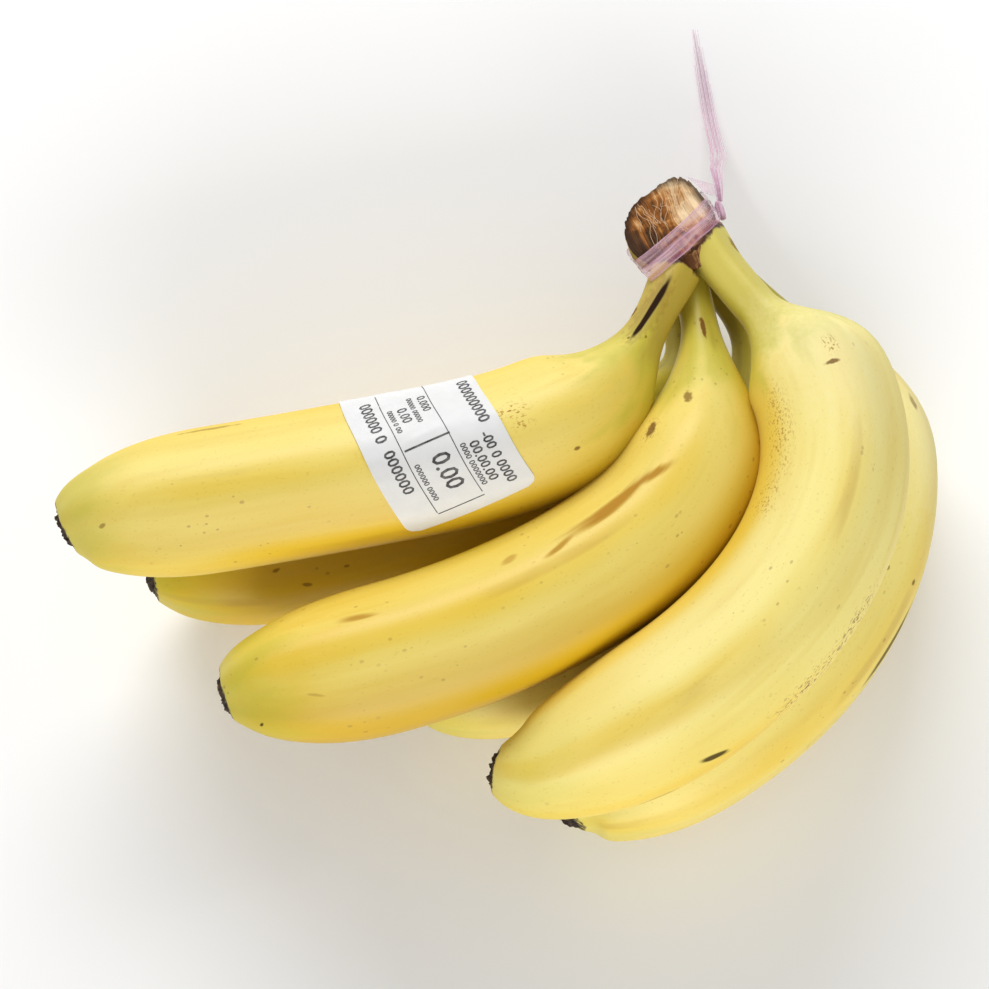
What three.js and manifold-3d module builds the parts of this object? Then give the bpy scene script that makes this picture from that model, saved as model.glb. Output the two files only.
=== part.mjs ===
// A bunch of six bananas, cut from the stalk with its crown and lying on its side in two layers.
// Millimetres, +Z up. The origin is on the surface, under the middle of the bunch.
// The crown is at +X +Y, the tips point to -X and -Y, and bananas 1, 3 and 5 lie on 2, 4 and 6.

import * as THREE from 'three';
import { mergeVertices } from 'three/addons/utils/BufferGeometryUtils.js';
import Module from 'manifold-3d';

// ---- Driving dimensions ----

const GAP = 0.35; // clearance between pieces that touch
const SURFACE = 0; // height of the surface that the bunch rests on

// The bananas. root is where the middle line starts, inside the crown. heading is the compass
// direction in degrees, from +X, at the STATIONS along the length, and rise is the slope in degrees at
// the root and at the tip. The neck is a stalk of radius neck that ends at neckEnd, and the shoulder
// swells to radius at shoulderEnd. roll turns the five ridges about the middle line. tip gives the
// length over which the far end rounds off, and how blunt it is.
const STATIONS = [0, 0.1, 0.2, 0.3, 0.45, 0.65, 1];
const BANANAS = [
  {
    name: 'banana_1', root: [49.9, 61.5, 53.8], length: 205.5, radius: 20.5,
    heading: [-114, -116.5, -126, -152, -166.5, -170.5, -174], rise: [6.5, -7],
    neck: 5.8, neckEnd: 20, shoulderEnd: 64, roll: 20, tip: [46, 2.2],
  },
  {
    name: 'banana_2', root: [50.3, 72.3, 31.4], length: 205, radius: 18.8,
    heading: [-88, -81, -132.5, -149, -154.5, -164, -174], rise: [-10, 4.5],
    neck: 5.4, neckEnd: 25, shoulderEnd: 63, roll: 0, tip: [46, 2.2],
  },
  {
    name: 'banana_3', root: [51.1, 65, 46.1], length: 219, radius: 20.8,
    heading: [-65, -85, -92, -110.5, -141, -157.5, -176], rise: [10, -6.5],
    neck: 5.2, neckEnd: 18, shoulderEnd: 72, roll: 10, tip: [48, 2.1],
  },
  {
    name: 'banana_4', root: [55.4, 77.2, 30], length: 197.5, radius: 19,
    heading: [-47, -55, -86, -98, -120, -145, -170], rise: [-9, 3.5],
    neck: 5.4, neckEnd: 28, shoulderEnd: 83, roll: 0, tip: [46, 2.2],
  },
  {
    name: 'banana_5', root: [56.2, 73.3, 52.4], length: 222.5, radius: 20.8,
    heading: [-61, -55.5, -54.5, -78, -108, -136, -166], rise: [9, -9.5],
    neck: 6.2, neckEnd: 30, shoulderEnd: 58, roll: 30, tip: [54, 1.8],
  },
  {
    name: 'banana_6', root: [56.1, 82, 29.1], length: 239, radius: 19.4,
    heading: [-44, -44, -40, -71.5, -101, -131.5, -168], rise: [-4.5, -0.9],
    neck: 5.4, neckEnd: 39, shoulderEnd: 88, roll: 0, tip: [46, 2.2],
  },
];
const ROOT_FLARE = 0.2; // a neck is wider by this share of itself where it leaves the crown
const FLARE_LENGTH = 16;
const RIDGES = 5; // soft edges round a banana
const RIDGE_HEIGHT = 0.045; // of the radius
const TIP_OVERRUN = 1.2; // the rounding would close this far past the tip
const BODY_END = 2; // the flesh ends this far before the tip
const NUB_RINGS = [[0.4, 5], [1.7, 4.8], [2.8, 3.75]]; // dried end: distance past the flesh, radius
const SIDES = 20; // facets round a banana
const RINGS = 28; // rings along a banana, nub left out
const RING_CROWDING = 0.7; // 0 spaces the rings evenly, towards 1 crowds them at both ends
const WALK = 240; // steps taken to walk a middle line

// The crown: an oval block round the roots of the necks, cut off at a slant.
const CROWN = {
  centre: [52.1, 71.3, 42],
  away: [-0.42, 0.865, 0.281], // from the bananas to the cut end
  out: [0, -0.309, 0.951], // from the lower layer to the upper one
  halfWidth: 13.2, // across, where it is widest
  halfHeight: 18.2, // along out
  baseAt: -6.5, // where the block ends at the necks, along away
  cutAt: 10.5, // where the cut crosses the middle, along away
  cutSlope: 0.66, // how far the cut runs back for each millimetre towards the upper layer
  cutTilt: 0.17, // how far it runs out for each millimetre towards the side of banana 5
  widestAt: 7, // along away
  baseWidth: 0.6, // of the greatest width
  topWidth: 0.86,
  lean: 1.4, // how far the cut end leans towards banana 5
  squareness: 3.4, // 2 is an ellipse, more is a rounder rectangle
};
const CROWN_SIDES = 28;
const CROWN_RINGS = 5;
const CUT_RINGS = 4; // rings of facets on the cut face
const CUT_DISH = 1.2; // the cut face is hollowed by this much in the middle

// The price label on banana 1, bent round the fruit.
const LABEL = {
  from: 79, // from the root to the near edge, along the banana
  width: 38, // along the banana
  wrap: 56.6, // round the banana
  centreAngle: 76, // from level with the right-hand side, upwards
  skew: 12, // turned by this many degrees on the fruit
  thickness: 0.6,
  cornerRadius: 3,
  bow: 2.3, // the middle of its wrap lies this much farther from the root than the ends
  bowReach: 24, // how far round from its middle the bow is nothing
};
const LABEL_COLUMNS = 12;
const LABEL_ROWS = 18;

// The plastic film tie: a band round the crown, a knot at its side and one loose tail.
const BAND = {
  centre: [49.2, 76.5, 44.5], // middle of the loop
  across: [0.783, 0.615, 0.194], // level-ish direction in the loop's plane
  through: [0.1, -0.42, 0.9], // steep direction in the loop's plane
  reach: 27, // nothing farther out than this is wrapped
  width: 7.2,
  slack: 0.45, // from what it is wrapped round
  thickness: 0.6,
};
const BAND_SEGMENTS = 40;
const KNOT = { centre: [64.1, 83.7, 46], size: [2.8, 2.6, 3] };
const TAIL_WIDTH = 3.8;
const TAIL_THICKNESS = 1.4;
const TAIL_POINTS = [
  [64.8, 86.7, 46], [64.4, 89.3, 46], [63.8, 92.9, 45.2], [63.3, 96.7, 43], [63.1, 100.5, 38.8],
  [63.4, 104.3, 33], [63.8, 108.1, 27], [64.1, 112.1, 21], [64.4, 116.5, 15.2], [64.6, 121.5, 9.8],
  [64.5, 127.3, 5.4], [64.2, 133.7, 2.6], [63.6, 140.5, 1.3], [62.8, 147.3, 1.1], [62, 153.9, 1.1],
  [61.2, 160.3, 1.1], [60.5, 166.3, 1.1],
];

// ---- Materials ----

function finish(color, roughness, metalness = 0) {
  return new THREE.MeshStandardMaterial({ color, roughness, metalness, side: THREE.DoubleSide });
}

const PEEL = finish('#e2c64b', 0.45);
const CUT_STALK = finish('#8a6440', 0.9);
const PAPER = finish('#f4f4f2', 0.6);
const FILM = finish('#e9a9cf', 0.25);

// ---- Solids ----

const wasm = await Module();
wasm.setup();

// Turns a closed geometry into a solid that can be cut.
function toSolid(geometry) {
  const bare = geometry.clone();
  bare.deleteAttribute('normal');
  bare.deleteAttribute('uv');
  const merged = mergeVertices(bare, 1e-5);
  return new wasm.Manifold(new wasm.Mesh({
    numProp: 3,
    vertProperties: new Float32Array(merged.attributes.position.array),
    triVerts: new Uint32Array(merged.index.array),
  }));
}

// Turns a cut solid back into a geometry, without the crumbs that a cut can leave.
function toGeometry(solid) {
  const pieces = solid.decompose();
  const largest = pieces.reduce((a, b) => (a.volume() > b.volume() ? a : b));
  const mesh = largest.getMesh();
  const geometry = new THREE.BufferGeometry();
  geometry.setAttribute('position', new THREE.BufferAttribute(new Float32Array(mesh.vertProperties), 3));
  geometry.setIndex(new THREE.BufferAttribute(new Uint32Array(mesh.triVerts), 1));
  geometry.computeVertexNormals();
  return geometry;
}

// Skins a stack of closed rings that run clockwise as seen from the last one, and closes both ends.
function skinRings(rings) {
  const sides = rings[0].length;
  const positions = rings.flat().flatMap((p) => p.toArray());
  const index = [];
  for (let r = 0; r + 1 < rings.length; r += 1) {
    for (let s = 0; s < sides; s += 1) {
      const a = r * sides + s;
      const b = r * sides + (s + 1) % sides;
      index.push(a, b + sides, b, a, a + sides, b + sides);
    }
  }
  [0, rings.length - 1].forEach((r) => {
    const middle = positions.length / 3;
    const sum = rings[r].reduce((total, p) => total.add(p), new THREE.Vector3());
    positions.push(...sum.divideScalar(sides).toArray());
    for (let s = 0; s < sides; s += 1) {
      const a = r * sides + s;
      const b = r * sides + (s + 1) % sides;
      index.push(...(r === 0 ? [middle, a, b] : [middle, b, a]));
    }
  });
  const geometry = new THREE.BufferGeometry();
  geometry.setAttribute('position', new THREE.Float32BufferAttribute(positions, 3));
  geometry.setIndex(index);
  geometry.computeVertexNormals();
  return geometry;
}

// ---- Bananas ----

// The direction in which a banana runs at a fraction of its length.
function runOf(banana, fraction) {
  const turns = new THREE.CubicInterpolant(STATIONS, banana.heading, 1);
  const azimuth = THREE.MathUtils.degToRad(turns.evaluate(fraction)[0]);
  const [rootRise, tipRise] = banana.rise;
  const rise = rootRise + (tipRise - rootRise) * THREE.MathUtils.smoothstep(fraction, 0, 1);
  const slope = THREE.MathUtils.degToRad(rise);
  return new THREE.Vector3(
    Math.cos(azimuth) * Math.cos(slope),
    Math.sin(azimuth) * Math.cos(slope),
    Math.sin(slope),
  );
}

// The middle line of a banana, walked from its root.
function middleLineOf(banana) {
  const step = banana.length / WALK;
  const points = [new THREE.Vector3(...banana.root)];
  for (let i = 0; i < WALK; i += 1) {
    points.push(points[i].clone().addScaledVector(runOf(banana, (i + 0.5) / WALK), step));
  }
  return points;
}

// Where a banana's middle line is at a distance from its root, with the directions round it.
function placeOn(banana, line, distance) {
  const run = runOf(banana, THREE.MathUtils.clamp(distance / banana.length, 0, 1));
  const place = THREE.MathUtils.clamp((distance / banana.length) * WALK, 0, WALK);
  const before = Math.min(Math.floor(place), WALK - 1);
  const middle = line[before].clone().lerp(line[before + 1], place - before);
  const beyond = distance - THREE.MathUtils.clamp(distance, 0, banana.length);
  middle.addScaledVector(run, beyond);
  const right = run.clone().cross(new THREE.Vector3(0, 0, 1)).normalize();
  const up = right.clone().cross(run);
  return { middle, right, up };
}

// The mean radius of a banana at a distance from its root.
function radiusOf(banana, distance) {
  const swell = THREE.MathUtils.smoothstep(distance, banana.neckEnd, banana.shoulderEnd);
  const flare = ROOT_FLARE * (1 - THREE.MathUtils.smoothstep(distance, 0, FLARE_LENGTH));
  const body = banana.neck * (1 + flare) + (banana.radius - banana.neck) * swell;
  const [taper, power] = banana.tip;
  const left = THREE.MathUtils.clamp((banana.length + TIP_OVERRUN - distance) / taper, 0, 1);
  return body * Math.sqrt(1 - (1 - left) ** power);
}

// A point on a banana's skin, raised by lift, at a distance and an angle from its right-hand side.
function skinPoint(banana, line, distance, angle, radius, lift) {
  const { middle, right, up } = placeOn(banana, line, distance);
  const ridge = 1 + RIDGE_HEIGHT * Math.cos(RIDGES * (angle - THREE.MathUtils.degToRad(banana.roll)));
  const reach = radius * ridge + lift;
  return middle
    .addScaledVector(right, reach * Math.cos(angle))
    .addScaledVector(up, reach * Math.sin(angle));
}

// A whole banana. A positive lift gives the room that it takes up, gap included.
function bananaGeometry(banana, lift = 0) {
  const line = middleLineOf(banana);
  const bodyLength = banana.length - BODY_END;
  const stations = [];
  for (let i = 0; i < RINGS; i += 1) {
    const t = i / (RINGS - 1);
    const crowded = t - (RING_CROWDING * Math.sin(2 * Math.PI * t)) / (2 * Math.PI);
    const distance = bodyLength * crowded;
    stations.push([distance, radiusOf(banana, distance)]);
  }
  stations[0][0] -= lift;
  NUB_RINGS.forEach(([beyond, radius]) => stations.push([bodyLength + beyond, radius]));
  stations[stations.length - 1][0] += lift;
  const rings = stations.map(([distance, radius]) => {
    const ring = [];
    for (let s = 0; s < SIDES; s += 1) {
      const angle = (2 * Math.PI * s) / SIDES;
      const point = skinPoint(banana, line, distance, angle, radius, lift);
      point.z = Math.max(point.z, SURFACE - lift);
      ring.push(point);
    }
    return ring;
  });
  return skinRings(rings);
}

// ---- Crown ----

function crownAxes() {
  const away = new THREE.Vector3(...CROWN.away).normalize();
  const out = new THREE.Vector3(...CROWN.out);
  out.addScaledVector(away, -out.dot(away)).normalize();
  const across = away.clone().cross(out);
  return { away, out, across };
}

// A point of the crown: round the block by angle, and along it from the base, 0, to the cut, 1.
function crownPoint(angle, along, inward = 0) {
  const { away, out, across } = crownAxes();
  const power = 2 / CROWN.squareness;
  const wide = Math.sign(Math.cos(angle)) * Math.abs(Math.cos(angle)) ** power;
  const high = Math.sign(Math.sin(angle)) * Math.abs(Math.sin(angle)) ** power;
  const outward = CROWN.halfHeight * high * (1 - inward);
  const sideways = CROWN.halfWidth * wide * (1 - inward);
  const cut = CROWN.cutAt - CROWN.cutSlope * outward + CROWN.cutTilt * sideways;
  const distance = CROWN.baseAt + (cut - CROWN.baseAt) * along;
  const farthest = CROWN.cutAt + CROWN.cutSlope * CROWN.halfHeight;
  const towardsBase = THREE.MathUtils.smoothstep(-distance, -CROWN.widestAt, -CROWN.baseAt);
  const towardsTop = THREE.MathUtils.smoothstep(distance, CROWN.widestAt, farthest);
  const narrowing = 1 - (1 - CROWN.baseWidth) * towardsBase - (1 - CROWN.topWidth) * towardsTop;
  const dish = CUT_DISH * (1 - (1 - inward) ** 2);
  return new THREE.Vector3(...CROWN.centre)
    .addScaledVector(across, sideways * narrowing + CROWN.lean * towardsTop)
    .addScaledVector(out, outward)
    .addScaledVector(away, distance - dish);
}

function crownGeometry() {
  const ringAt = (along, inward) => {
    const ring = [];
    for (let s = 0; s < CROWN_SIDES; s += 1) {
      ring.push(crownPoint((2 * Math.PI * s) / CROWN_SIDES, along, inward));
    }
    return ring;
  };
  const rings = [];
  for (let i = 0; i < CROWN_RINGS; i += 1) {
    rings.push(ringAt(i / (CROWN_RINGS - 1), 0));
  }
  for (let i = 1; i < CUT_RINGS; i += 1) {
    rings.push(ringAt(1, i / CUT_RINGS));
  }
  return skinRings(rings);
}

// ---- Price label ----

// A thin patch pressed on the skin: rays from a straight line through the banana find where each of its
// points lies. Its outer face is one grid of points. The inner one is sunk in the fruit, to be cut away.
function labelGeometry(banana, bananaMesh) {
  const line = middleLineOf(banana);
  const distance = LABEL.from + LABEL.width / 2;
  const { middle, right, up } = placeOn(banana, line, distance);
  const run = runOf(banana, distance / banana.length);
  const skew = THREE.MathUtils.degToRad(LABEL.skew);
  const middleAngle = THREE.MathUtils.degToRad(LABEL.centreAngle);
  const face = (lift) => {
    const points = [];
    for (let row = 0; row <= LABEL_ROWS; row += 1) {
      for (let column = 0; column <= LABEL_COLUMNS; column += 1) {
        const y = LABEL.wrap * (row / LABEL_ROWS - 0.5);
        const fromEnd = LABEL.wrap / 2 - Math.abs(y);
        const missing = Math.max(0, LABEL.cornerRadius - fromEnd);
        const pulled = LABEL.cornerRadius - Math.sqrt(LABEL.cornerRadius ** 2 - missing ** 2);
        const x = (LABEL.width - 2 * pulled) * (column / LABEL_COLUMNS - 0.5);
        const bow = LABEL.bow * (1 - (y / LABEL.bowReach) ** 2);
        const along = x * Math.cos(skew) - y * Math.sin(skew) + bow;
        const round = y * Math.cos(skew) + x * Math.sin(skew);
        const angle = middleAngle + round / banana.radius;
        const from = middle.clone().addScaledVector(run, along);
        const outward = right.clone().multiplyScalar(Math.cos(angle)).addScaledVector(up, Math.sin(angle));
        const [hit] = new THREE.Raycaster(from, outward).intersectObject(bananaMesh);
        points.push(from.addScaledVector(outward, hit.distance + lift));
      }
    }
    return points;
  };
  const outer = face(GAP + LABEL.thickness);
  const inner = face(-LABEL.thickness);
  const count = outer.length;
  const wide = LABEL_COLUMNS + 1;
  const index = [];
  for (let row = 0; row < LABEL_ROWS; row += 1) {
    for (let column = 0; column < LABEL_COLUMNS; column += 1) {
      const a = row * wide + column;
      const [b, c, d] = [a + 1, a + wide + 1, a + wide];
      index.push(a, b, c, a, c, d);
      index.push(count + a, count + c, count + b, count + a, count + d, count + c);
    }
  }
  const rim = [];
  for (let column = 0; column < LABEL_COLUMNS; column += 1) rim.push(column);
  for (let row = 0; row < LABEL_ROWS; row += 1) rim.push(row * wide + LABEL_COLUMNS);
  for (let column = LABEL_COLUMNS; column > 0; column -= 1) rim.push(LABEL_ROWS * wide + column);
  for (let row = LABEL_ROWS; row > 0; row -= 1) rim.push(row * wide);
  rim.forEach((a, i) => {
    const b = rim[(i + 1) % rim.length];
    index.push(a, count + a, count + b, a, count + b, b);
  });
  const geometry = new THREE.BufferGeometry();
  const positions = [...outer, ...inner].flatMap((p) => p.toArray());
  geometry.setAttribute('position', new THREE.Float32BufferAttribute(positions, 3));
  geometry.setIndex(index);
  geometry.computeVertexNormals();
  return geometry;
}

// ---- Tie ----

function bandAxes() {
  const across = new THREE.Vector3(...BAND.across).normalize();
  const through = new THREE.Vector3(...BAND.through);
  through.addScaledVector(across, -through.dot(across)).normalize();
  const along = across.clone().cross(through);
  return { across, through, along };
}

// The band lies on what it goes round: rays from its middle find how far out the crown and the roots of
// the necks reach. A positive lift gives the room that it takes up.
function bandGeometry(wrapped, lift = 0) {
  const { across, through, along } = bandAxes();
  const centre = new THREE.Vector3(...BAND.centre);
  const reachAt = (angle, offset) => {
    const from = centre.clone().addScaledVector(along, offset);
    const direction = across.clone().multiplyScalar(Math.cos(angle))
      .addScaledVector(through, Math.sin(angle));
    const hits = new THREE.Raycaster(from, direction, 0, BAND.reach).intersectObjects(wrapped);
    return hits.length > 0 ? hits[hits.length - 1].distance : 0;
  };
  const offsets = [-0.5, -0.25, 0, 0.25, 0.5].map((share) => share * BAND.width);
  const outline = [];
  for (let i = 0; i < BAND_SEGMENTS; i += 1) {
    const angle = (2 * Math.PI * i) / BAND_SEGMENTS;
    const reach = Math.max(...offsets.map((offset) => reachAt(angle, offset)));
    outline.push(new THREE.Vector2(reach * Math.cos(angle), reach * Math.sin(angle)));
  }
  const loop = stretchedLoop(outline);
  const rings = loop.map((point) => {
    const outward = point.clone().normalize();
    const corner = (height, offset) => centre.clone()
      .addScaledVector(across, point.x + outward.x * height)
      .addScaledVector(through, point.y + outward.y * height)
      .addScaledVector(along, offset);
    const half = BAND.width / 2 + lift;
    const inside = BAND.slack - lift;
    const outside = BAND.slack + BAND.thickness + lift;
    return [corner(inside, half), corner(outside, half), corner(outside, -half), corner(inside, -half)];
  });
  return skinLoop(rings);
}

// A stretched film spans the hollows: points inside the convex outline move out to it.
function stretchedLoop(points) {
  const reachOf = points.map((p) => p.length());
  const count = points.length;
  return points.map((p, i) => {
    const direction = p.clone().normalize();
    let reach = reachOf[i];
    for (let back = 1; back < count / 2; back += 1) {
      for (let ahead = 1; ahead < count / 2 - back; ahead += 1) {
        const a = points[(i - back + count) % count];
        const b = points[(i + ahead) % count];
        const chord = b.clone().sub(a);
        const crossing = a.cross(chord) / direction.cross(chord);
        reach = Math.max(reach, crossing);
      }
    }
    return direction.multiplyScalar(reach);
  });
}

// Skins rings that follow each other round a closed loop.
function skinLoop(rings) {
  const sides = rings[0].length;
  const positions = rings.flat().flatMap((p) => p.toArray());
  const index = [];
  rings.forEach((_, r) => {
    const next = (r + 1) % rings.length;
    for (let s = 0; s < sides; s += 1) {
      const a = r * sides + s;
      const b = r * sides + (s + 1) % sides;
      const c = next * sides + (s + 1) % sides;
      const d = next * sides + s;
      index.push(a, b, c, a, c, d);
    }
  });
  const geometry = new THREE.BufferGeometry();
  geometry.setAttribute('position', new THREE.Float32BufferAttribute(positions, 3));
  geometry.setIndex(index);
  geometry.computeVertexNormals();
  return geometry;
}

function knotGeometry() {
  const knot = new THREE.IcosahedronGeometry(1, 1);
  knot.scale(...KNOT.size);
  knot.translate(...KNOT.centre);
  return knot;
}

function tailGeometry() {
  const route = new THREE.CatmullRomCurve3(TAIL_POINTS.map((p) => new THREE.Vector3(...p)));
  const section = new THREE.Shape();
  section.absellipse(0, 0, TAIL_THICKNESS / 2, TAIL_WIDTH / 2, 0, 2 * Math.PI);
  return new THREE.ExtrudeGeometry(section, { steps: 24, extrudePath: route, curveSegments: 8 });
}

// ---- The bunch ----

const whole = Object.fromEntries(BANANAS.map((b) => [b.name, toSolid(bananaGeometry(b))]));
const room = Object.fromEntries(BANANAS.map((b) => [b.name, toSolid(bananaGeometry(b, GAP))]));

// Pressed together, the necks shape each other: each gives way to the ones that lie on it.
const GIVES_WAY_TO = {
  banana_5: [],
  banana_1: ['banana_5'],
  banana_3: ['banana_5', 'banana_1'],
  banana_2: ['banana_5', 'banana_1', 'banana_3'],
  banana_4: ['banana_5', 'banana_1', 'banana_3', 'banana_2'],
  banana_6: ['banana_5', 'banana_1', 'banana_3', 'banana_2', 'banana_4'],
};

function fittedBanana(name) {
  return toGeometry(GIVES_WAY_TO[name].reduce((solid, other) => solid.subtract(room[other]), whole[name]));
}

// Cuts the room of every banana from a piece that lies against them.
function clearOfFruit(geometry) {
  const start = toSolid(geometry);
  return toGeometry(BANANAS.reduce((solid, banana) => solid.subtract(room[banana.name]), start));
}

const group = new THREE.Group();

function add(name, geometry, material) {
  const mesh = new THREE.Mesh(geometry, material);
  mesh.name = name;
  group.add(mesh);
  return mesh;
}

const crown = add('crown', clearOfFruit(crownGeometry()), CUT_STALK);
const fruit = BANANAS.map(({ name }) => add(name, fittedBanana(name), PEEL.clone()));
add('price_label', clearOfFruit(labelGeometry(BANANAS[0], fruit[0])), PAPER);
add('tie_band', clearOfFruit(bandGeometry([crown, ...fruit])), FILM);
const bandRoom = toSolid(bandGeometry([crown, ...fruit], GAP));
add('tie_knot', toGeometry(toSolid(knotGeometry()).subtract(bandRoom)), FILM.clone());
add('tie_tail', tailGeometry(), FILM.clone());

export default group;
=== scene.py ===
"""A bunch of six bananas on its cut crown, with a price label and a film tie, lying on a surface.

Metres, +Z up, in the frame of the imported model. Bananas 1, 3 and 5 lie on 2, 4 and 6.
"""

import math
import random

import bpy
import numpy as np
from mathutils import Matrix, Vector, noise


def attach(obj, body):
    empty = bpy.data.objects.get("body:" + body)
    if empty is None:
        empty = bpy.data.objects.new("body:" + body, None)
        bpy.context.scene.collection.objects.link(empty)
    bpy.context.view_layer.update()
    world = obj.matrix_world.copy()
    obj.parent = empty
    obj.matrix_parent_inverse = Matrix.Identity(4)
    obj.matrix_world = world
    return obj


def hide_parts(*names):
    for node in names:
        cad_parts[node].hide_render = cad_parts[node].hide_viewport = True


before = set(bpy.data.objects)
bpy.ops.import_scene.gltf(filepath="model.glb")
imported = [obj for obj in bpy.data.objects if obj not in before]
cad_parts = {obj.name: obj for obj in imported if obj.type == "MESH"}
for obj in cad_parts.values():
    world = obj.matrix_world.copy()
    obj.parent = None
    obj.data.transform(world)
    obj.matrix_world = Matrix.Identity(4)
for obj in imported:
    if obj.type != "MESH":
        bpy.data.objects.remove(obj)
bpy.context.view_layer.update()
bpy.ops.object.select_all(action="DESELECT")

# ---- Camera ----
# It looks down steeply from the front, so that the whole bunch is seen from above.

CAMERA_TARGET = Vector((-0.0028, -0.0022, 0.0408))
CAMERA_DISTANCE = 0.7846
CAMERA_ELEVATION = math.radians(72)

bpy.ops.object.camera_add(
    location=CAMERA_TARGET
    + CAMERA_DISTANCE * Vector((0, -math.cos(CAMERA_ELEVATION), math.sin(CAMERA_ELEVATION))),
    rotation=(math.pi / 2 - CAMERA_ELEVATION, 0, 0),
)
camera = bpy.context.object
camera.data.lens = 100
camera.data.sensor_width = 36
bpy.context.scene.camera = camera

# ---- Tie tail ----
# The loose end of the tie: a sheaf of thin strands of pink film, split lengthwise. It leaves the knot,
# drops behind the crown and lies along the surface.

TAIL_WIDTH = 0.0038
TAIL_STRANDS = 11
WISPS = (0.0019, 0.0024, 0.0029, 0.0034)
STRAND_WIDTH = 0.0005
STRAND_THICKNESS = 0.00018
STRAND_WAVE = 0.00018
STRAND_LIFT = 0.0002
STRAND_TWIST = 0.2
WISP_SEED = 20
TAIL_DRIFT = ((0, 2, 4, 8, 12, 16), (-0.0015, -0.0011, -0.0006, 0.0009, 0.0001, 0.0))
KNOT_SPREAD = 0.25  # how far the strands are spread at the knot, as a share of the tail's width
FULL_SPREAD = 1.15
SPREAD_POINTS = 7
END_GATHER = 0.025
FILM_PALE = (0.88, 0.66, 0.78)
FILM_EDGE = 0.65
FILM_CREASES = ((0.05, 0.10), (0.42, 0.0), (0.48, 0.24), (0.55, 0.12), (0.95, 0.14))
TAIL_ROUTE = [
    (0.0648, 0.0867, 0.046), (0.0644, 0.0893, 0.046), (0.0638, 0.0929, 0.0452),
    (0.0633, 0.0967, 0.043), (0.0631, 0.1005, 0.0388), (0.0634, 0.1043, 0.033),
    (0.0638, 0.1081, 0.027), (0.0641, 0.1121, 0.021), (0.0644, 0.1165, 0.0152),
    (0.0646, 0.1215, 0.0098), (0.0645, 0.1273, 0.0054), (0.0642, 0.1337, 0.0026),
    (0.0636, 0.1405, 0.0013), (0.0628, 0.1473, 0.0011), (0.062, 0.1539, 0.0011),
    (0.0612, 0.1603, 0.0011), (0.0605, 0.1663, 0.0011),
]


class Finish:
    """A material made of nodes. Each method adds a node and gives back what comes out of it."""

    def __init__(self, name, **inputs):
        self.material = bpy.data.materials.new(name)
        self.material.use_nodes = True
        self.tree = self.material.node_tree
        self.shader = self.tree.nodes["Principled BSDF"]
        self.feed(self.shader, **inputs)

    def put(self, socket, value):
        """Sets a socket to a number or colour, or links it to what comes out of another node."""
        if isinstance(value, bpy.types.NodeSocket):
            self.tree.links.new(value, socket)
        elif socket.type == "RGBA":
            socket.default_value = (*value, 1)
        else:
            socket.default_value = value

    def feed(self, node, **inputs):
        """Gives each named input of a node its value, with _ for a space in the name."""
        for name, value in inputs.items():
            self.put(node.inputs[name.replace("_", " ")], value)

    def node(self, kind, **inputs):
        made = self.tree.nodes.new("ShaderNode" + kind)
        self.feed(made, **inputs)
        return made

    def attribute(self, name):
        made = self.node("Attribute")
        made.attribute_name = name
        return made.outputs["Vector"]

    def combine(self, operation, a, b=0.0, clamp=False):
        made = self.node("Math")
        made.operation = operation
        made.use_clamp = clamp
        self.put(made.inputs[0], a)
        self.put(made.inputs[1], b)
        return made.outputs["Value"]

    def length_of(self, vector):
        made = self.node("VectorMath")
        made.operation = "LENGTH"
        self.put(made.inputs[0], vector)
        return made.outputs["Value"]

    def ramp(self, value, low, high, to_low=0.0, to_high=1.0, easing="SMOOTHSTEP"):
        """Goes from one number to another as a value goes from low to high."""
        made = self.node("MapRange", Value=value, From_Min=low, From_Max=high, To_Min=to_low, To_Max=to_high)
        made.interpolation_type = easing
        return made.outputs["Result"]

    def mix(self, share, under, over):
        """Lays one colour over another, by a share from 0 to 1."""
        made = self.node("Mix")
        made.data_type = "RGBA"
        for index, value in ((0, share), (6, under), (7, over)):
            self.put(made.inputs[index], value)
        return made.outputs[2]

    def colours(self, amount, stops):
        """Colours that follow an amount, given as positions with their colours."""
        made = self.node("ValToRGB", Fac=amount)
        elements = made.color_ramp.elements
        while len(elements) < len(stops):
            elements.new(0.5)
        for element, (position, colour) in zip(elements, stops):
            element.position = position
            element.color = (*colour, 1)
        return made.outputs["Color"]

    def noise_of(self, vector, scale, detail=2.0, stretch=(1, 1, 1), offset=0.0, distortion=0.0):
        """Noise that follows a vector, finer in one direction than in another where it is stretched."""
        place = self.node("Mapping", Vector=vector, Scale=stretch, Location=(offset, offset, offset))
        made = self.node(
            "TexNoise", Vector=place.outputs["Vector"], Scale=scale, Detail=detail, Distortion=distortion
        )
        return made.outputs["Fac"]

    def bump(self, height, strength, distance):
        made = self.node("Bump", Height=height, Strength=strength, Distance=distance)
        self.feed(self.shader, Normal=made.outputs["Normal"])


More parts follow.
